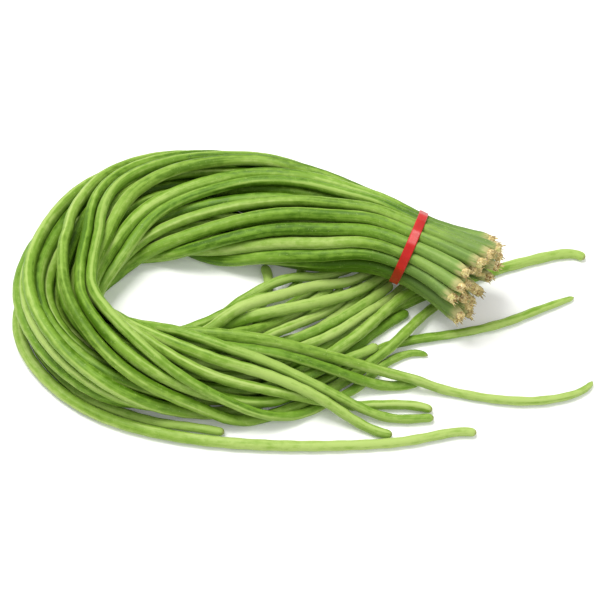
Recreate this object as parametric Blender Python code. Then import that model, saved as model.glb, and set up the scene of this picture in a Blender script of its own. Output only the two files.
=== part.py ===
"""Yardlong bean bunch: long thin pods held by a rubber band near their stem ends.

The pods share one run from the stem ends, through the band and round a turn, and then
fan out over the ground. All of them lie loose on a level surface, z = 0. Lengths here are
millimetres; the finished meshes are in metres, +Z up, with the origin on the ground below
the middle of the bunch.
"""

import math

import bpy
import numpy as np

METRES = 0.001
SEED = 13

# The middle of the tied run, from the stem ends to where the pods part company:
# x, y, height, roll of the bundle in degrees, spacing of the pods across and upwards.
RUN = (
    (105, 6, 35, -52, 9.2, 8.9),
    (89, 17, 36, -52, 7.5, 7.6),
    (67, 31, 36, -52, 6.8, 6.8),
    (47, 45, 34, -52, 8.5, 6.6),
    (25, 54, 30, -49, 10.9, 6.1),
    (0, 67, 24, -43, 13.2, 5.0),
    (-38, 83, 16, -25, 16.1, 4.1),
    (-82, 92, 14, 3, 16.7, 3.9),
    (-121, 76, 16, 36, 13.3, 4.8),
    (-137, 43, 20, 65, 9.4, 6.5),
    (-149, 6, 26, 84, 7.7, 8.3),
    (-139, -21, 26, 78, 7.8, 8.0),
    (-118, -42, 25, 62, 7.9, 7.3),
    (-88, -55, 23, 42, 8.1, 6.8),
)
RUN_END = 999
PLANE_SPACING = 18.0
PLANE_BEND = math.radians(15.0)
STEM_PLANES = (0.0, 3.0, 9.0)
BAND_AT = 46.0

# Rings of pods in the run's section: pods, distance out in spacings, first angle, step.
SECTION_RINGS = ((4, 0.76, 45, 90), (10, 1.72, 18, 36), (17, 2.68, 8, 360 / 17))

# One row for each pod, in the order of the section rings: how slender its tip end is, how
# far along the run it leaves, and the points its free end passes, the tip last.
PODS = (
    (0.25, RUN_END, ((-60, -55, 22), (-34, -50, 15), (-4, -40, 10))),
    (0.40, RUN_END, ((-61, -44, 22), (-38, -42, 20), (-14, -35, 13))),
    (0.25, RUN_END, ((-61, -46, 15), (-36, -40, 14), (-10, -26, 10), (14, -4, 8), (30, 16, 6),
                     (38, 30, 5))),
    (0.25, RUN_END, ((-61, -48, 14), (-34, -38, 9), (-5, -18, 5), (14, 5, 4), (28, 22, 4))),
    (0.25, RUN_END, ((-60, -56, 17), (-34, -51, 13), (0, -44, 9), (26, -34, 6), (48, -24, 4))),
    (0.25, RUN_END, ((-62, -54, 24), (-38, -51, 18), (-10, -45, 12))),
    (0.25, RUN_END, ((-62, -49, 28), (-38, -50, 22), (-14, -52, 15))),
    (0.60, RUN_END, ((-63, -47, 30), (-34, -48, 25), (-9, -47, 18), (13, -48, 11), (35, -49, 5),
                     (52, -51, 4), (69, -49, 4))),
    (0.25, RUN_END, ((-60, -44, 26), (-36, -38, 20), (-13, -20, 13), (9, 7, 9), (20, 23, 7))),
    (0.30, RUN_END, ((-60, -42, 15), (-36, -34, 11), (-20, -16, 6), (-15, 5, 4), (-17, 25, 4),
                     (-22, 42, 4))),
    (0.25, RUN_END, ((-62, -38, 10), (-35, -31, 10), (-2, -22, 11), (24, -6, 10), (40, 8, 7),
                     (56, 26, 6))),
    (0.30, RUN_END, ((-62, -44, 9), (-36, -36, 9), (-8, -24, 8), (20, -4, 6), (40, 18, 5),
                     (50, 34, 4))),
    (0.35, RUN_END, ((-61, -50, 11), (-38, -45, 8), (-12, -33, 4), (43, 2, 4), (93, 29, 4),
                     (119, 38, 4), (138, 46, 4), (158, 52, 4), (172, 53, 4), (180, 49, 4))),
    (0.25, RUN_END, ((-61, -56, 11), (-35, -50, 7), (-9, -38, 4), (30, -10, 4), (62, 12, 4))),
    (0.25, RUN_END, ((-63, -56, 12), (-35, -51, 8), (0, -40, 5), (43, -20, 5), (96, 23, 5))),
    (0.90, RUN_END, ((-62, -62, 18), (-34, -56, 12), (-9, -46, 7), (9, -31, 5), (24, -18, 5),
                     (48, -9, 4), (72, -11, 4), (90, -9, 4), (133, 2, 4), (169, 18, 4))),
    (0.80, RUN_END, ((-65, -67, 22), (-40, -62, 17), (-14, -52, 11), (10, -45, 6), (34, -33, 4),
                     (52, -23, 4), (67, -23, 4), (75, -25, 4))),
    (0.60, RUN_END, ((-66, -65, 28), (-45, -64, 23), (-21, -60, 14), (6, -61, 8), (24, -64, 6),
                     (46, -65, 4), (65, -64, 4), (76, -70, 4))),
    (0.50, RUN_END, ((-66, -61, 34), (-43, -62, 28), (-20, -61, 21), (23, -75, 10),
                     (40, -83, 5), (52, -88, 4))),
    (0.50, RUN_END, ((-64, -45, 37), (-36, -53, 31), (-9, -60, 22), (29, -72, 11), (46, -77, 6),
                     (62, -76, 4), (76, -72, 4))),
    (0.90, RUN_END, ((-63, -36, 34), (-20, -37, 29), (24, -43, 17), (47, -45, 10), (69, -50, 6),
                     (104, -60, 4), (127, -64, 4), (148, -64, 4), (161, -59, 4),
                     (172, -47, 4))),
    (0.25, RUN_END, ((-64, -38, 24), (-38, -34, 20), (-16, -17, 13), (-4, 7, 7), (0, 27, 5),
                     (1, 42, 5))),
    (0.25, RUN_END, ((-61, -36, 18), (-32, -28, 15), (-5, 0, 12), (21, 25, 9), (39, 40, 7))),
    (0.25, RUN_END, ((-64, -34, 12), (-42, -34, 17), (-24, -27, 18), (10, 0, 14), (37, 22, 11),
                     (56, 37, 9))),
    (0.25, RUN_END, ((-62, -35, 6), (-38, -30, 7), (-14, -14, 6), (7, 11, 5), (23, 32, 4),
                     (32, 46, 4))),
    (0.20, 308, ((-149, 32, 6), (-156, 13, 5), (-156, -6, 4), (-148, -25, 4), (-133, -42, 4),
                 (-114, -57, 4), (-90, -68, 4), (-61, -77, 4), (-41, -82, 4))),
    (0.60, 290, ((-153, 71, 8), (-163, 50, 6), (-173, 28, 5), (-175, 8, 4), (-168, -11, 4),
                 (-155, -29, 4), (-138, -48, 4), (-113, -66, 4), (-85, -77, 4), (-56, -85, 4),
                 (0, -90, 4), (57, -87, 4), (88, -82, 4), (101, -83, 4))),
    (0.25, RUN_END, ((-65, -36, 8), (-41, -30, 13), (-16, -24, 18), (16, -6, 15), (45, 24, 11),
                     (62, 40, 9))),
    (0.40, RUN_END, ((-64, -42, 5), (-38, -36, 7), (-10, -28, 8), (20, -10, 6), (44, 14, 4),
                     (58, 34, 4))),
    (0.25, RUN_END, ((-63, -46, 7), (-12, -34, 14), (15, -24, 14), (47, 5, 8), (67, 30, 4))),
    (0.25, RUN_END, ((-62, -57, 8), (-32, -50, 6), (15, -24, 7), (60, 11, 7), (77, 24, 7))),
)

# The pods: full radius, and how it narrows at the stem end and at the tip.
POD_RADIUS = 3.65
RADIUS_SPREAD = 0.25
STEM_SHAPE = ((0, 3, 9, 60, 120), (0.50, 0.74, 0.84, 0.88, 1.0))
TIP_DISTANCES = (0, 2.5, 8, 25, 60, 110, 190)
BLUNT_TIP = (0.34, 0.58, 0.76, 0.90, 0.98, 1.0, 1.0)
SLENDER_TIP = (0.30, 0.50, 0.62, 0.68, 0.76, 0.86, 1.0)
POD_SIDES = 6
FLAT_RATIO = math.cos(math.pi / POD_SIDES)
FREE_SPACING = 16.0
TIP_RINGS = (8.0, 2.5)
STEM_STAGGER = (-5.0, 4.0)

# How the run's pods wander from their slots, and the parting on top of the turn.
WANDER_ANGLE = 6.0
WANDER_OUT = 0.12
WANDER_LENGTH = 70.0
TURN_ROLL = 84.0
PARTING_ANGLE = 30

# Settling the pods against each other and the ground.
GAP = 0.35
LEAST_GAP = 0.15
ROUNDS = 700
EXTRA_ROUNDS = 400
REACH = 3.0
RENEW_PAIRS = 12
SAG = 0.10
STIFFNESS = 0.012
CROSSING_RINGS = 8
TIED_RINGS = 8
RUN_HOLD = 5.0
TIP_HOLD = 4.0
TIP_HOLD_RINGS = 6
CREEP_ROUNDS = 40
CREEP = 0.6
GROUNDED = 0.2

# The rubber band.
BAND_WIDTH = 7.0
BAND_THICKNESS = 1.1
BAND_GAP = 0.6
BAND_POINTS = 48
# The band sits askew: the way its loop faces, from the stems towards the bend.
BAND_FACING = (-0.91, 0.33, 0.23)

POD_GREENS = ((0.24, 0.42, 0.09), (0.20, 0.38, 0.07), (0.28, 0.46, 0.12), (0.17, 0.33, 0.06))
BAND_RED = (0.55, 0.03, 0.02)


def smooth_curve(points, steps):
    """Points along a Catmull-Rom curve through the rows of points, steps to each span."""
    points = np.asarray(points, float)
    before = 2 * points[0] - points[1]
    after = 2 * points[-1] - points[-2]
    padded = np.vstack([before, points, after])
    u = np.linspace(0, 1, steps, endpoint=False)[:, None]
    spans = []
    for k in range(len(points) - 1):
        a, b, c, d = padded[k:k + 4]
        cubic = (3 * b - a - 3 * c + d) * u**3
        square = (2 * a - 5 * b + 4 * c - d) * u**2
        spans.append(0.5 * (2 * b + (c - a) * u + square + cubic))
    spans.append(points[-1:])
    return np.vstack(spans)


def distances(curve):
    """How far along the curve each of its points is."""
    steps = np.linalg.norm(np.diff(curve[:, :3], axis=0), axis=1)
    return np.concatenate([[0.0], np.cumsum(steps)])


def sample(curve, at):
    """The curve's rows at the given distances along it."""
    travelled = distances(curve)
    columns = [np.interp(at, travelled, curve[:, k]) for k in range(curve.shape[1])]
    return np.stack(columns, axis=-1)


def run_planes(run):
    """Distances along the run of its section planes, closer together where it bends."""
    travelled = distances(run)
    step = np.gradient(run[:, :2], axis=0)
    heading = np.unwrap(np.arctan2(step[:, 1], step[:, 0]))
    bend = np.abs(np.gradient(heading, travelled))
    window = 31
    bend = np.convolve(np.pad(bend, window // 2, mode="edge"), np.ones(window) / window, "valid")
    density = np.maximum(1 / PLANE_SPACING, bend / PLANE_BEND)
    spans = 0.5 * (density[1:] + density[:-1]) * np.diff(travelled)
    count = np.concatenate([[0.0], np.cumsum(spans)])
    at = np.interp(np.linspace(0, count[-1], round(count[-1]) + 1), count, travelled)
    return np.concatenate([STEM_PLANES, at[at > STEM_PLANES[-1] + 5]])


def section_slots():
    """Distance out, in spacings, and angle of each pod in the run's section."""
    slots = []
    for pods, out, first, step in SECTION_RINGS:
        slots += [(out, first + step * k) for k in range(pods)]
    return slots


def frame_along(line):
    """Unit vectors forward, sideways and up at each point of a line of points."""
    forward = np.gradient(line, axis=0)
    forward /= np.linalg.norm(forward, axis=1)[:, None]
    side = np.cross(forward, [0, 0, 1])
    side /= np.linalg.norm(side, axis=1)[:, None]
    return forward, side, np.cross(side, forward)


def pod_in_run(rows, at, out, angle, rng):
    """Centre line of one pod along the whole run, from its slot in the section."""
    middle = rows[:, :3]
    roll, across, upward = rows[:, 3], rows[:, 4], rows[:, 5]
    forward, side, up = frame_along(middle)
    near_turn = np.exp(-((roll - TURN_ROLL) / 30.0) ** 2)
    from_top = (angle + TURN_ROLL - 90 + 180) % 360 - 180
    parting = PARTING_ANGLE * np.sign(from_top) * math.exp(-(from_top / 70) ** 2) * near_turn
    past_band = np.clip((at - 70) / 60, 0, 1)
    wave = np.sin(at / at[-1] * 5 + rng.uniform(0, 6))
    turned = np.radians(angle + roll + parting + WANDER_ANGLE * rng.normal() * wave * past_band)
    out = out + WANDER_OUT * np.sin(at / WANDER_LENGTH + rng.uniform(0, 6)) * past_band
    line = middle + (across * out * np.cos(turned))[:, None] * side
    line += (upward * out * np.sin(turned))[:, None] * up
    stagger = rng.uniform(*STEM_STAGGER)
    for ring, share in enumerate((1.0, 1.0, 0.8)):
        line[ring] -= forward[ring] * stagger * share
    return line


def free_end(line, route):
    """Centre line of a pod from the last point of line through its route to the tip."""
    steps = 14
    lead = 3
    curve = smooth_curve(np.vstack([line[-lead:], route]), steps)[(lead - 1) * steps:]
    length = distances(curve)[-1]
    count = max(3, round(length / FREE_SPACING))
    at = np.linspace(0, length, count + 1)[1:]
    at = at[(at > 4) & (at < length - TIP_RINGS[0] - 3)]
    at = np.concatenate([at, [length - distance for distance in TIP_RINGS], [length]])
    return sample(curve, at)


def eased(line):
    """The line with the corner where it leaves the run rounded off."""
    first, last = 12, len(line) - 3
    for _ in range(4):
        between = 0.5 * (line[:-2] + line[2:])
        line = line.copy()
        line[first:last] += 0.5 * (between[first - 1:last - 1] - line[first:last])
    return line


def laid_out():
    """Centre lines of the pods as the run and their routes place them, before settling."""
    rng = np.random.default_rng(SEED)
    run = smooth_curve(RUN, 40)
    at = run_planes(run)
    rows = sample(run, at)
    lines = []
    for (out, angle), (_, leaves, route) in zip(section_slots(), PODS):
        line = pod_in_run(rows, at, out, angle, rng)[at < leaves]
        lines.append(eased(np.vstack([line, free_end(line, route)])))
    return lines, len(at)


def pod_radii(line, full, slender):
    """Radius of a pod at each point of its centre line."""
    travelled = distances(line)
    to_tip = travelled[-1] - travelled
    stem = np.interp(travelled, *STEM_SHAPE)
    blunt = np.interp(to_tip, TIP_DISTANCES, BLUNT_TIP)
    thin = np.interp(to_tip, TIP_DISTANCES, SLENDER_TIP)
    return full * np.minimum(stem, (1 - slender) * blunt + slender * thin)


def closest(p1, q1, p2, q2):
    """Where segments p1-q1 and p2-q2 come closest, as a share of each one's length."""
    d1, d2, r = q1 - p1, q2 - p2, p1 - p2
    a, e = (d1 * d1).sum(1), (d2 * d2).sum(1)
    b, c, f = (d1 * d2).sum(1), (d1 * r).sum(1), (d2 * r).sum(1)
    spread = a * e - b * b
    s = np.where(spread > 1e-9 * a * e, (b * f - c * e) / np.maximum(spread, 1e-12), 0.5)
    t = np.clip((b * np.clip(s, 0, 1) + f) / e, 0, 1)
    s = np.clip((b * t - c) / a, 0, 1)
    return s, np.clip((b * s + f) / e, 0, 1)


class Heap:
    """The pods as one set of points, settled together."""

    def __init__(self, lines, radii, run_rings):
        counts = [len(line) for line in lines]
        self.starts = np.concatenate([[0], np.cumsum(counts)])
        self.points = np.vstack(lines)
        self.guide = self.points.copy()
        self.radius = np.concatenate(radii)
        self.pod = np.repeat(np.arange(len(lines)), counts)
        index = np.arange(len(self.points))
        ring = index - self.starts[self.pod]
        ends = self.starts[1:] - 1
        self.before = np.where(ring == 0, index, index - 1)
        self.after = index + 1
        self.after[ends] = ends
        self.segments = np.setdiff1d(index, ends)
        self.tie = np.clip((TIED_RINGS - ring) / 3.0, 0, 1)
        strays = np.array([leaves < RUN_END for _, leaves, _ in PODS])[self.pod]
        in_run = np.clip((run_rings + 3 - ring) / 8.0, 0, 1)
        count = np.array(counts)[self.pod]
        near_tip = np.clip((ring - (count - TIP_HOLD_RINGS)) / 3.0, 0, 1)
        held = np.where(strays, 2.0, 1 + (RUN_HOLD - 1) * in_run)
        self.hold = np.maximum(held, 1 + (TIP_HOLD - 1) * near_tip)
        crossing = (ring >= run_rings) & (ring < run_rings + CROSSING_RINGS) & ~strays
        self.stiffness = np.where(crossing & (ring < count - TIP_HOLD_RINGS), STIFFNESS, 0.0)[:, None]
        self.sag = np.where(ring < run_rings - 10, 0.15, 1.0) * SAG

    def gaps(self, first, second):
        """Closest places of pairs of segments, the way between them and the gap left."""
        s, t = closest(self.points[first], self.points[first + 1],
                       self.points[second], self.points[second + 1])
        way = self.points[first] * (1 - s)[:, None] + self.points[first + 1] * s[:, None]
        way -= self.points[second] * (1 - t)[:, None] + self.points[second + 1] * t[:, None]
        apart = np.linalg.norm(way, axis=1)
        need = self.radius[first] * (1 - s) + self.radius[first + 1] * s
        need += self.radius[second] * (1 - t) + self.radius[second + 1] * t
        return s, t, way / np.maximum(apart, 1e-6)[:, None], apart - need

    def near_pairs(self):
        """Pairs of segments that may touch soon, leaving out neighbours on one pod."""
        start, end = self.points[self.segments], self.points[self.segments + 1]
        reach = 0.5 * np.linalg.norm(end - start, axis=1)
        reach += np.maximum(self.radius[self.segments], self.radius[self.segments + 1])
        middle = 0.5 * (start + end)
        apart = ((middle[:, None] - middle[None]) ** 2).sum(-1)
        close = apart < (reach[:, None] + reach[None] + REACH) ** 2
        first, second = np.where(np.triu(close, 1))
        same = self.pod[self.segments[first]] == self.pod[self.segments[second]]
        apart_enough = ~same | (second - first >= 6)
        first, second = self.segments[first[apart_enough]], self.segments[second[apart_enough]]
        near = self.gaps(first, second)[3] < REACH
        return first[near], second[near]

    def push_apart(self, first, second):
        """Move every touching pair apart, and return the smallest gap there was."""
        s, t, way, gap = self.gaps(first, second)
        touching = gap < GAP
        first, second, s, t = first[touching], second[touching], s[touching], t[touching]
        push = way[touching] * (0.5 * (GAP - gap[touching]))[:, None]
        moved = np.zeros_like(self.points)
        weight = np.zeros(len(self.points))
        shares = ((first, 1 - s, 1), (first + 1, s, 1), (second, 1 - t, -1), (second + 1, t, -1))
        for index, share, sign in shares:
            for axis in range(3):
                moved[:, axis] += np.bincount(index, sign * push[:, axis] * share, len(weight))
            weight += np.bincount(index, share * share, len(weight))
        self.points += 1.1 * moved / np.maximum(weight, 0.5)[:, None]
        return gap.min()

    def relax(self, progress):
        """Even out what the pods have moved, hold the tied ends together, let them sag."""
        moved = self.points - self.guide
        evening = 0.5 * max(0.0, 1 - progress / 0.9) ** 0.7 + 0.02
        for _ in range(3):
            moved += evening * (0.5 * (moved[self.before] + moved[self.after]) - moved)
        tied = moved[self.tie > 0.5].mean(0)
        moved += (0.5 * self.tie)[:, None] * (tied - moved)
        pull = 0.01 * max(0.0, 1 - 1.25 * progress)
        moved[:, :2] *= 1 - (pull * self.hold)[:, None]
        self.points = self.guide + moved
        straight = 0.5 * (self.points[self.before] + self.points[self.after])
        self.points += self.stiffness * (straight - self.points)
        self.points[:, 2] -= self.sag * max(0.0, 1 - progress / 0.85)

    def rest_on_ground(self):
        self.points[:, 2] = np.maximum(self.points[:, 2], self.radius * FLAT_RATIO)

    def settle(self):
        for turn in range(ROUNDS + EXTRA_ROUNDS):
            if turn % RENEW_PAIRS == 0:
                pairs = self.near_pairs()
            least = self.push_apart(*pairs)
            if turn < ROUNDS:
                self.relax(turn / ROUNDS)
            self.rest_on_ground()
            if turn % CREEP_ROUNDS == CREEP_ROUNDS - 1:
                self.guide += (CREEP / self.hold)[:, None] * (self.points - self.guide)
            if turn >= ROUNDS and least > LEAST_GAP:
                break
        lowest = self.radius * FLAT_RATIO
        grounded = self.points[:, 2] < lowest + GROUNDED
        self.points[:, 2] = np.where(grounded, lowest, self.points[:, 2])
        return np.split(self.points, self.starts[1:-1])


def material(name, colour, roughness):
    finish = bpy.data.materials.new(name)
    finish.use_nodes = True
    surface = finish.node_tree.nodes["Principled BSDF"]
    surface.inputs["Base Color"].default_value = (*colour, 1.0)
    surface.inputs["Roughness"].default_value = roughness
    surface.inputs["Metallic"].default_value = 0.0
    return finish


def add_object(name, points, faces, finish):
    """One closed body from points in millimetres, in its own named object."""
    mesh = bpy.data.meshes.new(name)
    mesh.from_pydata((np.asarray(points) * METRES).tolist(), [], faces)
    mesh.materials.append(finish)
    mesh.shade_smooth()
    body = bpy.data.objects.new(name, mesh)
    bpy.context.collection.objects.link(body)
    return body


def ring_faces(start, sides):
    """Two triangles for each side between ring start and the next ring."""
    faces = []
    for k in range(sides):
        a, b = start + k, start + (k + 1) % sides
        faces += [(a, b + sides, b), (a, a + sides, b + sides)]
    return faces


def add_pod(name, line, radii, finish):
    """A six-sided tube, flat side down, that comes to a point at each end."""
    _, side, up = frame_along(line)
    angles = np.arange(POD_SIDES) * 2 * math.pi / POD_SIDES
    points = [line[0]]
    faces = [(0, 1 + k, 1 + (k + 1) % POD_SIDES) for k in range(POD_SIDES)]
    for ring in range(1, len(line) - 1):
        spokes = np.cos(angles)[:, None] * side[ring] + np.sin(angles)[:, None] * up[ring]
        points += list(line[ring] + radii[ring] * spokes)
    for ring in range(len(line) - 3):
        faces += ring_faces(1 + ring * POD_SIDES, POD_SIDES)
    tip = len(points)
    last = tip - POD_SIDES
    points.append(line[-1])
    faces += [(last + k, tip, last + (k + 1) % POD_SIDES) for k in range(POD_SIDES)]
    return add_object(name, points, faces, finish)


def band_outline(lines, radii, centre, forward, side, up, clearance):
    """Points of a taut loop round the pods where they cross the plane at centre."""
    spots = []
    for line, radius in zip(lines, radii):
        ahead = (line - centre) @ forward
        ring = np.where((ahead[:-1] <= 0) & (ahead[1:] > 0))[0][0]
        share = -ahead[ring] / (ahead[ring + 1] - ahead[ring])
        spot = line[ring] * (1 - share) + line[ring + 1] * share - centre
        spots.append((spot @ side, spot @ up, max(radius[ring], radius[ring + 1])))
    spots = np.array(spots)
    angles = np.arange(BAND_POINTS) * 2 * math.pi / BAND_POINTS
    towards = np.stack([np.cos(angles), np.sin(angles)], axis=-1)
    support = (spots[:, :2] @ towards.T + spots[:, 2:]).max(0) + clearance
    half = math.pi / BAND_POINTS
    corner_angles = angles + half
    outline = []
    for k, angle in enumerate(corner_angles):
        here, ahead = support[k], support[(k + 1) % BAND_POINTS]
        along = 0.5 * (here + ahead) / math.cos(half)
        across = 0.5 * (ahead - here) / math.sin(half)
        x = along * math.cos(angle) - across * math.sin(angle)
        y = along * math.sin(angle) + across * math.cos(angle)
        outline.append(centre + x * side + y * up)
    return outline


def add_band(lines, radii, finish):
    """A flat band of even thickness, stretched round the tied pods."""
    run = sample(smooth_curve(RUN, 40), np.array([BAND_AT - 1, BAND_AT, BAND_AT + 1]))[:, :3]
    shift = lines[0][TIED_RINGS // 2] - laid_out()[0][0][TIED_RINGS // 2]
    forward = np.array(BAND_FACING) / np.linalg.norm(BAND_FACING)
    side = np.cross(forward, [0, 0, 1])
    side /= np.linalg.norm(side)
    up = np.cross(side, forward)
    points = []
    for clearance in (BAND_GAP, BAND_GAP + BAND_THICKNESS):
        for offset in (-0.5 * BAND_WIDTH, 0.5 * BAND_WIDTH):
            centre = run[1] + shift + offset * forward
            points += band_outline(lines, radii, centre, forward, side, up, clearance)
    faces = []
    for k in range(BAND_POINTS):
        j = (k + 1) % BAND_POINTS
        inner_back, inner_front, outer_back, outer_front = (BAND_POINTS * n for n in range(4))
        for a, b in ((inner_back, outer_back), (outer_back, outer_front),
                     (outer_front, inner_front), (inner_front, inner_back)):
            faces += [(a + k, b + j, a + j), (a + k, b + k, b + j)]
    return add_object("rubber_band", points, faces, finish)


def centre_on_ground(bodies):
    """Move the meshes so that the origin is on the ground below the middle of them all."""
    corners = np.vstack([[vertex.co for vertex in body.data.vertices] for body in bodies])
    low, high = corners.min(0), corners.max(0)
    shift = (0.5 * (low[0] + high[0]), 0.5 * (low[1] + high[1]), low[2])
    for body in bodies:
        for vertex in body.data.vertices:
            vertex.co = [place - offset for place, offset in zip(vertex.co, shift)]


def main():
    for existing in list(bpy.data.objects):
        bpy.data.objects.remove(existing)
    lines, run_rings = laid_out()
    rng = np.random.default_rng(SEED + 1)
    full = POD_RADIUS + rng.uniform(-RADIUS_SPREAD, RADIUS_SPREAD, len(lines))
    radii = [pod_radii(line, size, pod[0]) for line, size, pod in zip(lines, full, PODS)]
    lines = Heap(lines, radii, run_rings).settle()
    bodies = []
    for k, (line, radius) in enumerate(zip(lines, radii)):
        green = material(f"pod_green_{k + 1:02d}", POD_GREENS[k % len(POD_GREENS)], 0.5)
        bodies.append(add_pod(f"bean_{k + 1:02d}", line, radius, green))
    bodies.append(add_band(lines, radii, material("band_red", BAND_RED, 0.35)))
    centre_on_ground(bodies)


main()
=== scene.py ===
"""A tied bunch of yardlong beans: fine pods, dry stem ends, rubber band, floor, light and camera.

Every length is in metres. The centre line and thickness of each pod are read from its CAD node.
"""

import math

import bpy
import bmesh
import numpy as np
from mathutils import Matrix, Vector


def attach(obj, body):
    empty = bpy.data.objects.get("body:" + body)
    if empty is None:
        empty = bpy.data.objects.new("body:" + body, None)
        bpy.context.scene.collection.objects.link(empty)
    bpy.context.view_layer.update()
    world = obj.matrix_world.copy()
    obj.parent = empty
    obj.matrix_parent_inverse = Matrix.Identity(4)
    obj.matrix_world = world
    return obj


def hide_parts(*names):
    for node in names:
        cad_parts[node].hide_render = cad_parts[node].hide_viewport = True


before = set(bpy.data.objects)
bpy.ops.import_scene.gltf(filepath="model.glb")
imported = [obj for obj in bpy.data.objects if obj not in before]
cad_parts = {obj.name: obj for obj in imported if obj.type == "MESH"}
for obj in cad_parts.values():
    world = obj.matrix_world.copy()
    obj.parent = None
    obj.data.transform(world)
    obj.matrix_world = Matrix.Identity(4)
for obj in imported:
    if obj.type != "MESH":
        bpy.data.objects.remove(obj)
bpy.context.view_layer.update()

MM = 0.001
SEED = 11
FULL_TURN = 2 * math.pi
PHASE_RANGE = 6.28
POD_NODES = sorted(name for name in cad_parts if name.startswith("bean_"))
BAND_NODE = "rubber_band"

# The centre lines of the pods.
LINE_STEP = 4.5 * MM
# The least radius towards the two ends, as a share of the pod's greatest radius.
STEM_DISTANCES = (0.0, 0.010, 0.024, 0.042, 0.070, 0.110)
STEM_FLARE = (1.02, 1.02, 0.96, 0.84, 0.84, 0.0)
TIP_DISTANCES = (0.0, 0.004, 0.012, 0.030, 0.060, 0.100)
BLUNT_TIP = (0.72, 0.74, 0.77, 0.80, 0.80, 0.0)
SLENDER_TIP = (0.42, 0.50, 0.62, 0.74, 0.80, 0.0)
# A pod is slender if this far from its tip it has less than this share of its greatest radius.
SLENDER_AT = 0.030
SLENDER_SHARE = 0.75
# The loose end of every pod is a little thinner.
FREE_DISTANCES = (0.0, 0.17, 0.27)
FREE_SHARE = (0.94, 0.94, 1.0)

# How the pods settle against each other and the floor.
SETTLE_ROUNDS = 140
CLOSE_ROUNDS = 40
PAIRS_KEPT_FOR = 20
PAIR_MARGIN = 1.2 * MM
OWN_STEPS_APART = 8
PRESSED = 0.08 * MM
STIFFNESS = 0.40
STIFF_FROM_END = 3.0
PULL_HOME = 0.015
SAG = 0.030 * MM
LEAST_WEIGHT = 0.6
# Where the strands of the bend part and leave a dark cleft: x, y, z and half width.
PARTING = np.array(((-135, 58, 30, 0.6), (-137, 47, 31, 1.8), (-138, 33, 33, 2.8),
                    (-138, 20, 35, 3.2), (-139, 8, 37, 3.2), (-139, -4, 38, 2.6),
                    (-138, -14, 39, 1.6), (-136, -25, 40, 0.6))) * MM

# The fine skin of the pods.
SKIN_STEP = 2.6 * MM
SKIN_CURVE_STEPS = 6
POD_SIDES = 24
TIP_STEPS = np.array((4.2, 3.3, 2.5, 1.8, 1.2, 0.7, 0.3, 0.0)) * MM
TIP_RADIUS = 0.25 * MM
BLUNT_LENGTH, SLENDER_LENGTH = 1.3, 2.4
BLUNT_POWER, SLENDER_POWER = 1.0, 1.3
SEED_SPACING = (0.012, 0.016)
SWELL_DISTANCES = (0.0, 0.02, 0.10, 0.30)
SWELL_DEPTH = (0.02, 0.045, 0.035, 0.014)
STEM_ROUNDING = ((0.0, 0.0045), (0.80, 1.0))
SEAM_SHARPNESS = 60
FLATTENING = 0.055
SEAM_RIDGE, BACK_SEAM_RIDGE = 0.07, 0.05

# Deep, fresh and pale green of the pods.
POD_GREENS = (((0.066, 0.155, 0.004, 1), (0.178, 0.322, 0.030, 1), (0.345, 0.485, 0.112, 1)),
              ((0.054, 0.132, 0.003, 1), (0.148, 0.285, 0.023, 1), (0.300, 0.440, 0.090, 1)),
              ((0.082, 0.175, 0.006, 1), (0.210, 0.352, 0.043, 1), (0.380, 0.510, 0.135, 1)))
STEM_GREEN = (0.200, 0.300, 0.090, 1)
STRAW = (0.50, 0.44, 0.20, 1)
TIP_BROWN = (0.23, 0.17, 0.07, 1)
FLECK_GREEN = (0.50, 0.60, 0.24, 1)
TONE_RANGE = (0.38, 0.60)
STREAK_RANGE = (0.5, 1.2)
# Pods made paler or darker than the rest.
PALER = {"bean_21": 0.17, "bean_22": 0.10, "bean_24": 0.08, "bean_28": 0.08, "bean_19": 0.08,
         "bean_23": 0.05, "bean_11": 0.05, "bean_27": 0.05}
DARKER = {"bean_01": 0.15, "bean_04": 0.15, "bean_05": 0.15, "bean_06": 0.15, "bean_07": 0.15,
          "bean_14": 0.15, "bean_15": 0.10, "bean_31": 0.10, "bean_26": 0.10, "bean_16": 0.05}

# The torn stem ends, modelled on a pod of radius 1.
CROWN_KINDS = 7
CROWN_SIDES = 11
CROWN_RADIUS, CROWN_DEPTH, CROWN_MIDDLE = 0.96, 1.1, -0.35
RIM_WIDTH, CUP_WIDTH = 0.30, 0.34
RIM_HEIGHT, CUP_HEIGHT = (0.1, 0.35), (-0.6, -0.1)
CROWN_ROUGHNESS = 0.15
FIBRE_COUNT = (11, 16)
LONG_FIBRE = 1.9
FIBRE_PULLS = ((0.55, 0.62), (0.45, 0.30))
CROWN_FIT = 0.88
CROWN_LEAN = 0.18

# The rubber band.
BAND_WIDTH = 5.6 * MM
BAND_THICKNESS = 1.2 * MM
BAND_ROUNDING = 0.35
BAND_SIDES = 180
BAND_REACH = 0.034
POD_OUTLINE_POINTS = 36
BAND_OUTLINE_POINTS = 1200

# Name, place, size, power and colour of each light.
LIGHTS = (("key", (-0.38, 0.28, 1.40), 0.8, 21.5, (1.0, 0.99, 0.96)),
          ("fill", (0.9, -0.9, 1.1), 1.2, 6.0, (0.97, 0.99, 1.0)))
LIT_SPOT = (0, 0, 0.02)
SKY_STRENGTH = 0.60

# The camera looks along +Y and down on the bunch.
CAMERA_ELEVATION = 50.0
CAMERA_DISTANCE = 0.85
CAMERA_LENS = 85.0
CAMERA_TARGET = (-0.00253, -0.01847, 0.020)


# ---------------------------------------------------------------- pod centre lines

def rings_from(start):
    """The vertices of a closed mesh in layers, each one edge further from start."""
    layers, seen = [[start]], {start}
    while layers[-1]:
        following = []
        for vertex in layers[-1]:
            for edge in vertex.link_edges:
                other = edge.other_vert(vertex)
                if other not in seen:
                    seen.add(other)
                    following.append(other)
        layers.append(following)
    return layers[:-1]


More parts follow.
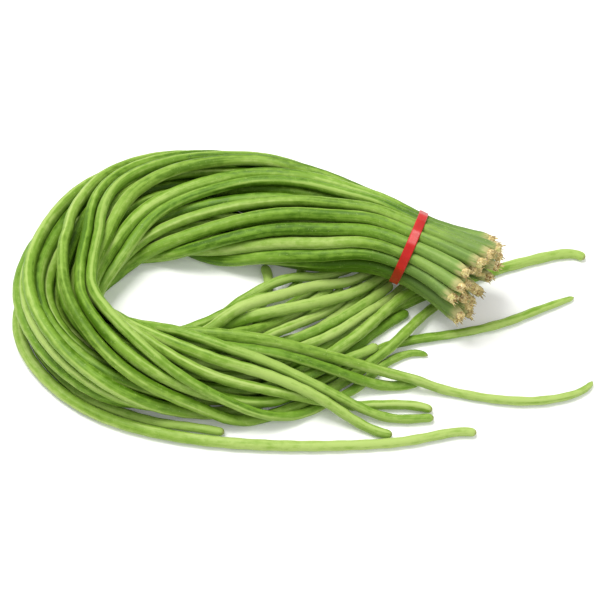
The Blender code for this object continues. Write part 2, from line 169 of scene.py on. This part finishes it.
def pod_axis(node_name):
    """Centre points and radii of a CAD pod, from its stem end to its tip."""
    solid = bmesh.new()
    solid.from_mesh(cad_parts[node_name].data)
    bmesh.ops.remove_doubles(solid, verts=solid.verts, dist=1e-6)
    solid.verts.ensure_lookup_table()
    one_end = rings_from(solid.verts[0])[-1][0]
    centres, radii = [], []
    for ring in rings_from(one_end):
        places = np.array([vertex.co for vertex in ring])
        centres.append(places.mean(0))
        radii.append(np.linalg.norm(places - centres[-1], axis=1).mean())
    solid.free()
    centres, radii = np.array(centres), np.array(radii)
    stem_end_is_last = centres[0, 2] < centres[-1, 2]
    if stem_end_is_last:
        centres, radii = centres[::-1], radii[::-1]
    return centres, radii


def travelled(line):
    """How far along the line each of its points is."""
    return np.concatenate([[0.0], np.cumsum(np.linalg.norm(np.diff(line, axis=0), axis=1))])


def flowing(points, steps=12):
    """A smooth curve through the points."""
    before, after = 2 * points[0] - points[1], 2 * points[-1] - points[-2]
    padded = np.vstack([before, points, after])
    u = np.linspace(0, 1, steps, endpoint=False)[:, None]
    spans = []
    for k in range(len(points) - 1):
        a, b, c, d = padded[k:k + 4]
        cubic = (3 * b - a - 3 * c + d) * u**3
        square = (2 * a - 5 * b + 4 * c - d) * u**2
        spans.append(0.5 * (2 * b + (c - a) * u + square + cubic))
    return np.vstack(spans + [points[-1:]])


def read_at(wanted, at, line):
    """Every column of the line, read at the wanted distances along it."""
    return np.stack([np.interp(wanted, at, line[:, k]) for k in range(line.shape[1])], axis=-1)


def respaced(line, step):
    """The line with a point every step or a little less."""
    at = travelled(line)
    return read_at(np.linspace(0, at[-1], math.ceil(at[-1] / step) + 1), at, line)


def closed_up(line):
    """The line with its last points close together, so that the tip turns round smoothly."""
    at = travelled(line[:, :3])
    return read_at(np.concatenate([at[:-2], at[-1] - TIP_STEPS]), at, line)


def is_slender(centres, radii):
    """Whether a pod is thin well before its tip."""
    at = travelled(centres)
    return np.interp(at[-1] - SLENDER_AT, at, radii) < SLENDER_SHARE * radii.max()


def fine_line(centres, radii):
    """A pod's centre line at even steps, with the radius as a fourth column."""
    curve = flowing(centres)
    at = travelled(curve)
    to_tip = at[-1] - at
    thick = np.interp(at, travelled(centres), radii) * np.interp(to_tip, FREE_DISTANCES, FREE_SHARE)
    stem_end = np.interp(at, STEM_DISTANCES, STEM_FLARE)
    tip = np.interp(to_tip, TIP_DISTANCES, SLENDER_TIP if is_slender(centres, radii) else BLUNT_TIP)
    thick = np.maximum(thick, radii.max() * np.maximum(stem_end, tip))
    return respaced(np.column_stack([curve, thick]), LINE_STEP)


def skin_line(line):
    """The settled line again, fine enough to carry the skin."""
    curve = flowing(line[:, :3], SKIN_CURVE_STEPS)
    thick = np.interp(np.linspace(0, 1, len(curve)), np.linspace(0, 1, len(line)), line[:, 3])
    return closed_up(respaced(np.column_stack([curve, thick]), SKIN_STEP))


# ---------------------------------------------------------------- pods pressed together

def nearest(p, u, q, v):
    """Shares along segments p + u and q + v where they come closest."""
    r = p - q
    a, e, b = (u * u).sum(1), (v * v).sum(1), (u * v).sum(1)
    c, f = (u * r).sum(1), (v * r).sum(1)
    spread = a * e - b * b
    s = np.where(spread > 1e-6 * a * e, (b * f - c * e) / np.maximum(spread, 1e-20), 0.5)
    t = np.clip((b * np.clip(s, 0, 1) + f) / e, 0, 1)
    s = np.clip((b * t - c) / a, 0, 1)
    return s, np.clip((b * s + f) / e, 0, 1)


def close_pairs(points, radius, first_of, pod):
    """Pairs of steps on different pods, or far apart on one, that may touch."""
    start, end = points[first_of], points[first_of + 1]
    middle = 0.5 * (start + end)
    reach = 0.5 * LINE_STEP + radius[first_of] + PAIR_MARGIN
    apart = ((middle[:, None] - middle[None]) ** 2).sum(-1)
    one, two = np.where(np.triu(apart < (reach[:, None] + reach[None]) ** 2, 1))
    keep = (pod[first_of[one]] != pod[first_of[two]]) | (two - one > OWN_STEPS_APART)
    return first_of[one[keep]], first_of[two[keep]]


def pressed_together(lines, wedge):
    """The centre lines as springy pods take them: kinks eased out, skins touching, on the floor.

    The wedge is one more line that stays where it is and keeps the pods apart.
    """
    counts = [len(line) for line in lines] + [len(wedge)]
    stacked = np.vstack(lines + [wedge])
    points, radius = stacked[:, :3].copy(), stacked[:, 3]
    home = points.copy()
    starts = np.concatenate([[0], np.cumsum(counts)])
    pod = np.repeat(np.arange(len(counts)), counts)
    index = np.arange(len(points))
    last = starts[1:] - 1
    before = np.where(np.isin(index, starts[:-1]), index, index - 1)
    after = np.where(np.isin(index, last), index, index + 1)
    first_of = np.setdiff1d(index, last)
    from_end = np.minimum(index - starts[pod], last[pod] - index)
    ease = (STIFFNESS * np.clip((from_end - 1) / STIFF_FROM_END, 0, 1))[:, None]
    for turn in range(SETTLE_ROUNDS + CLOSE_ROUNDS):
        if turn % PAIRS_KEPT_FOR == 0:
            one, two = close_pairs(points, radius, first_of, pod)
        s, t = nearest(points[one], points[one + 1] - points[one],
                       points[two], points[two + 1] - points[two])
        way = points[one] * (1 - s)[:, None] + points[one + 1] * s[:, None]
        way -= points[two] * (1 - t)[:, None] + points[two + 1] * t[:, None]
        apart = np.linalg.norm(way, axis=1)
        need = radius[one] * (1 - s) + radius[one + 1] * s - PRESSED
        need += radius[two] * (1 - t) + radius[two + 1] * t
        touching = apart < need
        push = way * (0.5 * (need - apart) / np.maximum(apart, 1e-9))[:, None] * touching[:, None]
        moved, weight = np.zeros_like(points), np.zeros(len(points))
        for where, share in ((one, 1 - s), (one + 1, s), (two, t - 1), (two + 1, -t)):
            for axis in range(3):
                moved[:, axis] += np.bincount(where, push[:, axis] * share, len(points))
            weight += np.bincount(where, share * share * touching, len(points))
        points += moved / np.maximum(weight, LEAST_WEIGHT)[:, None]
        if turn < SETTLE_ROUNDS:
            bend = 0.5 * (points[before] + points[after]) - points
            bend[starts[:-1]], bend[last] = 0, 0
            points -= ease * (0.5 * (bend[before] + bend[after]) - bend)
            points += PULL_HOME * (home - points)
            points[:, 2] -= SAG
        points[:, 2] = np.maximum(points[:, 2], radius)
        points[-len(wedge):] = wedge[:, :3]
    settled = [np.column_stack([place, thick]) for place, thick in
               zip(np.split(points, starts[1:-1]), np.split(radius, starts[1:-1]))]
    return settled[:-1]


# ---------------------------------------------------------------- shader nodes

def new_group(name, inputs, outputs):
    """A shader node group with named inputs and outputs, and its two end nodes."""
    tree = bpy.data.node_groups.new(name, "ShaderNodeTree")
    for label, kind, value in inputs:
        made = tree.interface.new_socket(label, in_out="INPUT", socket_type=kind)
        made.default_value = value
    for label, kind in outputs:
        tree.interface.new_socket(label, in_out="OUTPUT", socket_type=kind)
    return tree, tree.nodes.new("NodeGroupInput"), tree.nodes.new("NodeGroupOutput")


def node(tree, kind, inputs=None, **settings):
    """A node with its settings, and its inputs linked or set by name or number."""
    made = tree.nodes.new(kind)
    for key, value in settings.items():
        setattr(made, key, value)
    for key, value in (inputs or {}).items():
        if isinstance(value, bpy.types.NodeSocket):
            tree.links.new(value, made.inputs[key])
        else:
            made.inputs[key].default_value = value
    return made


def added(tree, a, b, clamp=False):
    """The sum of two values."""
    return node(tree, "ShaderNodeMath", {0: a, 1: b}, operation="ADD", use_clamp=clamp).outputs[0]


def times(tree, a, b):
    """The product of two values."""
    return node(tree, "ShaderNodeMath", {0: a, 1: b}, operation="MULTIPLY").outputs[0]


def ramp(tree, value, low, high, low_out=0.0, high_out=1.0):
    """The value taken smoothly from low..high to low_out..high_out, held at the ends."""
    made = node(tree, "ShaderNodeMapRange", {"Value": value, "From Min": low, "From Max": high,
                                             "To Min": low_out, "To Max": high_out})
    made.interpolation_type = "SMOOTHSTEP"
    return made.outputs["Result"]


def mixed(tree, factor, first, second):
    """The first colour turning into the second as the factor grows."""
    made = node(tree, "ShaderNodeMix", {0: factor, 6: first, 7: second}, data_type="RGBA")
    return made.outputs[2]


def noise(tree, vector, scale, detail=2.0, roughness=0.5):
    """Cloudy noise from 0 to 1."""
    return node(tree, "ShaderNodeTexNoise", {"Vector": vector, "Scale": scale, "Detail": detail,
                                             "Roughness": roughness}).outputs["Fac"]


def along_pod(tree, lie, across, along, detail=2.0, roughness=0.5):
    """Noise drawn out along a pod: how many patches go on a metre across it and along it."""
    drawn = node(tree, "ShaderNodeMapping", {"Vector": lie, "Scale": (across, across, along)})
    return noise(tree, drawn.outputs["Vector"], 1.0, detail, roughness)


def pod_skin_group():
    """Colour, roughness and height of fresh pod skin, laid along each pod."""
    deep, fresh, pale = POD_GREENS[0]
    tree, given, put = new_group(
        "pod_skin",
        (("Deep", "NodeSocketColor", deep), ("Fresh", "NodeSocketColor", fresh),
         ("Pale", "NodeSocketColor", pale), ("Tone", "NodeSocketFloat", 0.5),
         ("Streaks", "NodeSocketFloat", 1.0)),
        (("Colour", "NodeSocketColor"), ("Roughness", "NodeSocketFloat"),
         ("Height", "NodeSocketFloat")))
    lie = node(tree, "ShaderNodeAttribute", attribute_name="pod_lie").outputs["Vector"]
    ends = node(tree, "ShaderNodeAttribute", attribute_name="pod_ends").outputs["Vector"]
    to_stem, to_tip, seam = node(tree, "ShaderNodeSeparateXYZ", {0: ends}).outputs

    broad = along_pod(tree, lie, 60, 14, 3.0)
    flank = along_pod(tree, lie, 210, 9)
    streak = along_pod(tree, lie, 480, 16, 3.0, 0.6)
    fibre = along_pod(tree, lie, 1500, 60, 2.0, 0.6)
    mottle = along_pod(tree, lie, 330, 190, 3.0, 0.55)
    speck = along_pod(tree, lie, 1100, 1100, 1.0)

    streaks = times(tree, given.outputs["Streaks"], ramp(tree, streak, 0.32, 0.70, -0.17, 0.18))
    tone = given.outputs["Tone"]
    for change in (ramp(tree, broad, 0.3, 0.7, -0.24, 0.24),
                   ramp(tree, flank, 0.36, 0.64, -0.17, 0.17),
                   streaks,
                   ramp(tree, mottle, 0.32, 0.68, -0.12, 0.12),
                   ramp(tree, fibre, 0.3, 0.7, -0.05, 0.05),
                   ramp(tree, to_tip, 0.0, 0.16, 0.30, 0.0),
                   ramp(tree, to_stem, 0.16, 0.30, -0.18, 0.04)):
        tone = added(tree, tone, change)
    tone = added(tree, tone, ramp(tree, seam, 0.0, 0.8, 0.0, 0.46), clamp=True)

    low = mixed(tree, ramp(tree, tone, 0.0, 0.5), given.outputs["Deep"], given.outputs["Fresh"])
    colour = mixed(tree, ramp(tree, tone, 0.45, 1.0), low, given.outputs["Pale"])
    dry = times(tree, ramp(tree, to_stem, 0.001, 0.007, 0.85, 0.0), ramp(tree, streak, 0.30, 0.55))
    for share, tint in ((ramp(tree, to_stem, 0.006, 0.070, 0.55, 0.0), STEM_GREEN),
                        (dry, STRAW),
                        (ramp(tree, to_tip, 0.0003, 0.0016, 0.55, 0.0), TIP_BROWN),
                        (times(tree, ramp(tree, speck, 0.66, 0.78), 0.35), FLECK_GREEN)):
        colour = mixed(tree, share, colour, tint)
    tree.links.new(colour, put.inputs["Colour"])
    tree.links.new(ramp(tree, mottle, 0.3, 0.7, 0.44, 0.58), put.inputs["Roughness"])
    height = added(tree, times(tree, streak, 0.5), times(tree, mottle, 0.5))
    height = added(tree, height, times(tree, fibre, 0.25))
    tree.links.new(height, put.inputs["Height"])
    return tree


# ---------------------------------------------------------------- materials

def surface(name, specular):
    """A new material, its node tree and its Principled shader."""
    made = bpy.data.materials.new(name)
    made.use_nodes = True
    shader = made.node_tree.nodes["Principled BSDF"]
    shader.inputs["Specular IOR Level"].default_value = specular
    return made, made.node_tree, shader


def roughen(tree, shader, height, strength, distance):
    """Raise the surface by a height pattern."""
    bump = node(tree, "ShaderNodeBump", {"Height": height, "Strength": strength,
                                         "Distance": distance})
    tree.links.new(bump.outputs["Normal"], shader.inputs["Normal"])


def pod_material(name, skin, greens, tone, streaks):
    """Fresh pod skin with its own greens, tone and strength of streaks."""
    made, tree, shader = surface(name, specular=0.20)
    deep, fresh, pale = greens
    group = node(tree, "ShaderNodeGroup", node_tree=skin)
    for label, value in (("Deep", deep), ("Fresh", fresh), ("Pale", pale),
                         ("Tone", tone), ("Streaks", streaks)):
        group.inputs[label].default_value = value
    tree.links.new(group.outputs["Colour"], shader.inputs["Base Color"])
    tree.links.new(group.outputs["Roughness"], shader.inputs["Roughness"])
    roughen(tree, shader, group.outputs["Height"], 0.7, 0.30 * MM)
    return made


def dry_end_material():
    """Dry, straw-coloured fibre of the torn stem ends, with painted shade: darker brown in its
    creases.
    """
    made, tree, shader = surface("dry_stem_end", specular=0.25)
    place = node(tree, "ShaderNodeTexCoord").outputs["Object"]
    bump_and_crease_shade = noise(tree, place, 420.0, 4.0, 0.65)
    fine = noise(tree, place, 1500.0, 3.0, 0.6)
    green_patch = ramp(tree, noise(tree, place, 160.0), 0.5, 0.72, 0.0, 0.6)
    # Painted shade: dark brown where the coarse noise, which is also the bump, is low, in the
    # creases.
    colour = mixed(tree, ramp(tree, bump_and_crease_shade, 0.36, 0.56), (0.22, 0.115, 0.03, 1),
                   (0.62, 0.49, 0.20, 1))
    colour = mixed(tree, ramp(tree, fine, 0.50, 0.70), colour, (0.86, 0.78, 0.50, 1))
    colour = mixed(tree, green_patch, colour, (0.50, 0.55, 0.18, 1))
    tree.links.new(colour, shader.inputs["Base Color"])
    shader.inputs["Roughness"].default_value = 0.8
    roughen(tree, shader, bump_and_crease_shade, 0.8, 0.6 * MM)
    return made


def band_material():
    """Smooth red rubber with a soft gloss."""
    made, tree, shader = surface("red_rubber", specular=0.4)
    place = node(tree, "ShaderNodeTexCoord").outputs["Object"]
    cloud = noise(tree, place, 90.0, 3.0)
    colour = mixed(tree, ramp(tree, cloud, 0.3, 0.7), (0.38, 0.006, 0.004, 1),
                   (0.54, 0.012, 0.009, 1))
    tree.links.new(colour, shader.inputs["Base Color"])
    grain = noise(tree, place, 2600.0)
    tree.links.new(ramp(tree, grain, 0.3, 0.7, 0.30, 0.42), shader.inputs["Roughness"])
    roughen(tree, shader, grain, 0.15, 0.2 * MM)
    return made


# ---------------------------------------------------------------- pods

def select_only(piece):
    """Make the piece the only one selected, and the active one."""
    bpy.ops.object.select_all(action="DESELECT")
    piece.select_set(True)
    bpy.context.view_layer.objects.active = piece


def pod_profile(line, slender, rng):
    """Radius of a pod's skin at each point: blunt or slender tip, seeds swelling under the skin."""
    at = travelled(line[:, :3])
    to_tip = at[-1] - at
    radius = line[:, 3].copy()
    spacing = rng.uniform(*SEED_SPACING)
    phase = rng.uniform(0, PHASE_RANGE)
    wander = np.sin(at / 0.031 + rng.uniform(0, PHASE_RANGE)) * 0.8
    swell = np.sin(at * 2 * math.pi / spacing + phase + wander)
    depth = np.interp(to_tip, SWELL_DISTANCES, SWELL_DEPTH)
    slow = 0.02 * np.sin(at / 0.05 + rng.uniform(0, PHASE_RANGE))
    radius *= 1 + depth * swell + slow
    length = (SLENDER_LENGTH if slender else BLUNT_LENGTH) * radius[-4]
    rounded = np.sqrt(np.maximum(1 - (1 - np.clip(to_tip / length, 0, 1)) ** 2, 0))
    radius *= rounded ** (SLENDER_POWER if slender else BLUNT_POWER)
    radius *= np.interp(at, *STEM_ROUNDING)
    return np.maximum(radius, TIP_RADIUS)


def pod_tube(name, line, radii):
    """An open round tube along a line."""
    path = bpy.data.curves.new(name, "CURVE")
    path.dimensions = "3D"
    path.bevel_depth = 1.0
    path.bevel_resolution = (POD_SIDES - 4) // 2
    spline = path.splines.new("POLY")
    spline.points.add(len(line) - 1)
    spline.points.foreach_set("co", np.column_stack([line, np.ones(len(line))]).ravel())
    spline.points.foreach_set("radius", radii)
    tube = bpy.data.objects.new(name, path)
    bpy.context.collection.objects.link(tube)
    select_only(tube)
    bpy.ops.object.convert(target="MESH")
    return bpy.context.object


def make_pod(node_name, line, slender, rng, finish):
    """The fine skin of one pod, with its seams and seeds, in place of its CAD node."""
    pod = pod_tube("skin_" + node_name, line[:, :3], pod_profile(line, slender, rng))
    mesh = pod.data
    places = np.zeros(len(mesh.vertices) * 3)
    mesh.vertices.foreach_get("co", places)
    centres = line[:, None, :3]
    spokes = places.reshape(len(line), POD_SIDES, 3) - centres
    turn = np.arange(POD_SIDES) * 2 * math.pi / POD_SIDES
    at = travelled(line[:, :3])
    twist = rng.uniform(0, PHASE_RANGE) + at * rng.uniform(-4, 4) + 0.4 * np.sin(at / 0.08)
    seam_angle = turn[None] - twist[:, None]
    seam = np.maximum(np.cos(seam_angle), 0) ** SEAM_SHARPNESS
    back_seam = np.maximum(-np.cos(seam_angle), 0) ** SEAM_SHARPNESS
    shape = 1 + FLATTENING * np.cos(2 * seam_angle) + SEAM_RIDGE * seam
    shape += BACK_SEAM_RIDGE * back_seam
    spokes *= shape[:, :, None]
    places = centres + spokes
    places[:, :, 2] = np.maximum(places[:, :, 2], 0.0)
    mesh.vertices.foreach_set("co", places.reshape(-1))

    reach = np.linalg.norm(spokes, axis=2)
    offset = rng.uniform(0, 3)
    from_stem, from_tip = (np.broadcast_to(away[:, None], reach.shape)
                           for away in (at, at[-1] - at))
    lie = np.stack([reach * np.cos(turn), reach * np.sin(turn), from_stem + offset], axis=-1)
    ends = np.stack([from_stem, from_tip, seam + 0.6 * back_seam], axis=-1)
    for label, value in (("pod_lie", lie), ("pod_ends", ends)):
        layer = mesh.attributes.new(label, "FLOAT_VECTOR", "POINT")
        layer.data.foreach_set("vector", value.reshape(-1))

    select_only(pod)
    bpy.ops.object.mode_set(mode="EDIT")
    bpy.ops.mesh.select_all(action="SELECT")
    bpy.ops.mesh.fill_holes(sides=0)
    bpy.ops.mesh.normals_make_consistent(inside=False)
    bpy.ops.object.mode_set(mode="OBJECT")
    mesh.materials.clear()
    mesh.materials.append(finish)
    mesh.shade_smooth()
    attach(pod, "root")
    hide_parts(node_name)


# ---------------------------------------------------------------- dry stem ends

def pick_faces(test):
    """In edit mode, leave just the faces that pass the test selected."""
    bpy.ops.mesh.select_all(action="DESELECT")
    mesh = bmesh.from_edit_mesh(bpy.context.object.data)
    for face in mesh.faces:
        if test(face):
            face.select_set(True)
    mesh.select_flush_mode()
    bmesh.update_edit_mesh(bpy.context.object.data)


def pull_fibre(reach, lean, turn, long):
    """Draw one torn fibre out of the face nearest to a place on the crown."""
    spot = Vector((reach * math.cos(turn), reach * math.sin(turn), 1.0))
    mesh = bmesh.from_edit_mesh(bpy.context.object.data)
    foot = min((face.calc_center_median() for face in mesh.faces if face.normal.z > -0.2),
               key=lambda centre: (centre - spot).length)
    way = Vector((lean * math.cos(turn), lean * math.sin(turn), 1.0)).normalized() * long
    for share, width in FIBRE_PULLS:
        pick_faces(lambda face: (face.calc_center_median() - foot).length < 1e-4)
        bpy.ops.mesh.extrude_region_move(TRANSFORM_OT_translate={"value": way * share})
        foot = foot + way * share
        bpy.ops.transform.resize(value=(width, width, width), center_override=foot)


def model_dry_end(kind):
    """A torn crown of dry fibre for a pod of radius 1 that ends at the origin, pointing up."""
    rng = np.random.default_rng(SEED + kind)
    bpy.ops.object.select_all(action="DESELECT")
    bpy.ops.mesh.primitive_cylinder_add(vertices=CROWN_SIDES, radius=CROWN_RADIUS,
                                        depth=CROWN_DEPTH, location=(0, 0, CROWN_MIDDLE))
    crown = bpy.context.object
    bpy.ops.object.mode_set(mode="EDIT")
    bpy.ops.mesh.select_mode(type="FACE")
    pick_faces(lambda face: face.normal.z > 0.9)
    for width, height in ((RIM_WIDTH, RIM_HEIGHT), (CUP_WIDTH, CUP_HEIGHT)):
        bpy.ops.mesh.inset(thickness=width)
        bpy.ops.transform.translate(value=(0, 0, rng.uniform(*height)))
    bpy.ops.mesh.poke()
    bpy.ops.mesh.select_all(action="SELECT")
    bpy.ops.mesh.subdivide(number_cuts=1)
    bpy.ops.transform.vertex_random(offset=CROWN_ROUGHNESS, seed=kind)
    for _ in range(rng.integers(*FIBRE_COUNT)):
        pull_fibre(rng.uniform(0.1, 1.1), rng.uniform(0.0, 0.8), rng.uniform(0, FULL_TURN),
                   rng.uniform(0.3, 1.2))
    has_long_fibre = kind % 3 == 0
    if has_long_fibre:
        pull_fibre(rng.uniform(0.1, 0.6), rng.uniform(0.2, 0.7), rng.uniform(0, FULL_TURN),
                   LONG_FIBRE)
    bpy.ops.object.mode_set(mode="OBJECT")
    rounder = crown.modifiers.new("rounder", "SUBSURF")
    rounder.levels = rounder.render_levels = 1
    bpy.ops.object.modifier_apply(modifier=rounder.name)
    crown.data.shade_smooth()
    return crown


def place_dry_end(model, name, line, rng, finish):
    """A copy of a torn crown on the stem end of a pod."""
    end = bpy.data.objects.new(name, model.data.copy())
    bpy.context.collection.objects.link(end)
    stem_end = line[0, :3]
    along = Vector(stem_end - line[3, :3]).normalized()
    lean_x = Matrix.Rotation(rng.normal(0, CROWN_LEAN), 4, "X")
    lean_y = Matrix.Rotation(rng.normal(0, CROWN_LEAN), 4, "Y")
    stand = along.to_track_quat("Z", "Y").to_matrix().to_4x4()
    spin = Matrix.Rotation(rng.uniform(0, FULL_TURN), 4, "Z")
    size = Matrix.Scale(line[2, 3] * CROWN_FIT, 4)
    end.data.transform(Matrix.Translation(stem_end) @ stand @ (lean_x @ lean_y) @ spin @ size)
    end.data.materials.clear()
    end.data.materials.append(finish)
    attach(end, "root")


# ---------------------------------------------------------------- rubber band

def hull(spots):
    """Corners of the convex hull of flat points, in order."""
    spots = sorted(map(tuple, spots))

    def half(points):
        chain = []
        for p in points:
            while len(chain) > 1:
                (ax, ay), (bx, by) = chain[-2], chain[-1]
                if (bx - ax) * (p[1] - ay) - (by - ay) * (p[0] - ax) > 0:
                    break
                chain.pop()
            chain.append(p)
        return chain[:-1]

    return np.array(half(spots) + half(spots[::-1]))


def band_reach(lines, place, forward, side, up):
    """How far out a taut loop round the pods runs in each direction from place."""
    spots = []
    for line in lines:
        ahead = (line[:, :3] - place) @ forward
        for k in np.where((ahead[:-1] > 0) & (ahead[1:] <= 0))[0]:
            if np.linalg.norm(line[k, :3] - place) > BAND_REACH:
                continue
            share = ahead[k] / (ahead[k] - ahead[k + 1])
            crossing = line[k] * (1 - share) + line[k + 1] * share
            away = crossing[:3] - place
            for turn in np.arange(POD_OUTLINE_POINTS) * 2 * math.pi / POD_OUTLINE_POINTS:
                spots.append((away @ side + crossing[3] * math.cos(turn),
                              away @ up + crossing[3] * math.sin(turn)))
            break
    outline = hull(spots)
    closed = np.vstack([outline, outline[:1]])
    at = travelled(closed)
    dense = read_at(np.linspace(0, at[-1], BAND_OUTLINE_POINTS, endpoint=False), at, closed)
    angles = np.arctan2(dense[:, 1], dense[:, 0])
    order = np.argsort(angles)
    return angles[order], np.linalg.norm(dense, axis=1)[order]


def make_band(lines, finish):
    """The rubber band: a taut flat loop with rounded edges round the tied pods."""
    solid = np.array([vertex.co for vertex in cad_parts[BAND_NODE].data.vertices])
    centre = solid.mean(0)
    forward = np.linalg.svd(solid - centre, full_matrices=False)[2][2]
    forward *= np.sign(forward[0])
    side = np.cross(forward, (0, 0, 1))
    side /= np.linalg.norm(side)
    up = np.cross(side, forward)
    bpy.ops.object.select_all(action="DESELECT")
    bpy.ops.mesh.primitive_cylinder_add(vertices=BAND_SIDES, radius=1.0, depth=1.0,
                                        end_fill_type="NOTHING")
    loop = bpy.context.object
    loop.name = loop.data.name = "band_red"
    bpy.ops.object.mode_set(mode="EDIT")
    bpy.ops.mesh.select_all(action="DESELECT")
    mesh = bmesh.from_edit_mesh(loop.data)
    for edge in mesh.edges:
        edge.select_set(abs(edge.verts[0].co.z - edge.verts[1].co.z) > 0.5)
    bmesh.update_edit_mesh(loop.data)
    bpy.ops.mesh.subdivide(number_cuts=3)
    bpy.ops.object.mode_set(mode="OBJECT")
    reach = {}
    for vertex in loop.data.vertices:
        row = round(vertex.co.z, 3)
        place = centre - forward * row * BAND_WIDTH
        if row not in reach:
            reach[row] = band_reach(lines, place, forward, side, up)
        turn = math.atan2(vertex.co.y, vertex.co.x)
        out = np.interp(turn, *reach[row], period=FULL_TURN)
        vertex.co = place + out * (math.cos(turn) * side + math.sin(turn) * up)
    select_only(loop)
    rounding = BAND_ROUNDING * BAND_THICKNESS
    for kind, settings in (("SOLIDIFY", {"thickness": BAND_THICKNESS, "offset": 1.0}),
                           ("BEVEL", {"width": rounding, "segments": 3})):
        shaping = loop.modifiers.new(kind.lower(), kind)
        for setting, value in settings.items():
            setattr(shaping, setting, value)
        bpy.ops.object.modifier_apply(modifier=shaping.name)
    loop.data.materials.append(finish)
    loop.data.shade_smooth()
    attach(loop, "root")
    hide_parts(BAND_NODE)


# ---------------------------------------------------------------- floor, light and camera

def make_floor():
    """A plain pale floor that glows very faintly, so that shadows on it stay soft."""
    bpy.ops.object.select_all(action="DESELECT")
    bpy.ops.mesh.primitive_plane_add(size=8.0, location=(0, 0, -0.2 * MM))
    floor = bpy.context.object
    floor.name = "floor"
    made, _, shader = surface("pale_floor", specular=0.1)
    for label, value in (("Base Color", (0.93, 0.93, 0.93, 1)), ("Roughness", 0.9),
                         ("Emission Color", (1, 1, 1, 1)), ("Emission Strength", 0.08)):
        shader.inputs[label].default_value = value
    floor.data.materials.append(made)


def make_light():
    """A white sky, a soft key light from above and a weak fill light from the front right."""
    bpy.context.scene.view_settings.view_transform = "Standard"
    world = bpy.data.worlds.new("studio")
    bpy.context.scene.world = world
    world.use_nodes = True
    sky = world.node_tree.nodes["Background"]
    sky.inputs["Color"].default_value = (1, 1, 1, 1)
    sky.inputs["Strength"].default_value = SKY_STRENGTH
    for name, place, size, power, colour in LIGHTS:
        lamp = bpy.data.lights.new(name, "AREA")
        lamp.size, lamp.energy, lamp.color = size, power, colour
        shown = bpy.data.objects.new(name, lamp)
        shown.location = place
        aim = Vector(LIT_SPOT) - Vector(place)
        shown.rotation_euler = aim.to_track_quat("-Z", "Y").to_euler()
        bpy.context.collection.objects.link(shown)


def make_camera():
    """The camera, level from side to side and tilted down on the bunch."""
    lens = bpy.data.cameras.new("camera")
    lens.lens = CAMERA_LENS
    lens.clip_start, lens.clip_end = 0.01, 20.0
    camera = bpy.data.objects.new("camera", lens)
    tilt = math.radians(CAMERA_ELEVATION)
    back = Vector((0, -math.cos(tilt), math.sin(tilt)))
    camera.location = Vector(CAMERA_TARGET) + back * CAMERA_DISTANCE
    camera.rotation_euler = (math.radians(90) - tilt, 0, 0)
    bpy.context.collection.objects.link(camera)
    bpy.context.scene.camera = camera


def make_bunch():
    """Every pod with its dry stem end, and the band that ties them."""
    rng = np.random.default_rng(SEED)
    wedge = respaced(flowing(PARTING), LINE_STEP)
    axes = [pod_axis(name) for name in POD_NODES]
    lines = pressed_together([fine_line(*axis) for axis in axes], wedge)
    skin = pod_skin_group()
    dry = dry_end_material()
    crowns = [model_dry_end(kind) for kind in range(CROWN_KINDS)]
    for k, (name, line) in enumerate(zip(POD_NODES, lines)):
        fine = skin_line(line)
        number = name[-2:]
        tone = rng.uniform(*TONE_RANGE) + PALER.get(name, 0.0) - DARKER.get(name, 0.0)
        finish = pod_material("pod_green_" + number, skin, POD_GREENS[k % len(POD_GREENS)], tone,
                              rng.uniform(*STREAK_RANGE))
        make_pod(name, fine, is_slender(*axes[k]), rng, finish)
        place_dry_end(crowns[k % CROWN_KINDS], "dry_end_" + number, fine, rng, dry)
    for crown in crowns:
        bpy.data.objects.remove(crown)
    make_band(lines, band_material())


make_bunch()
make_floor()
make_light()
make_camera()
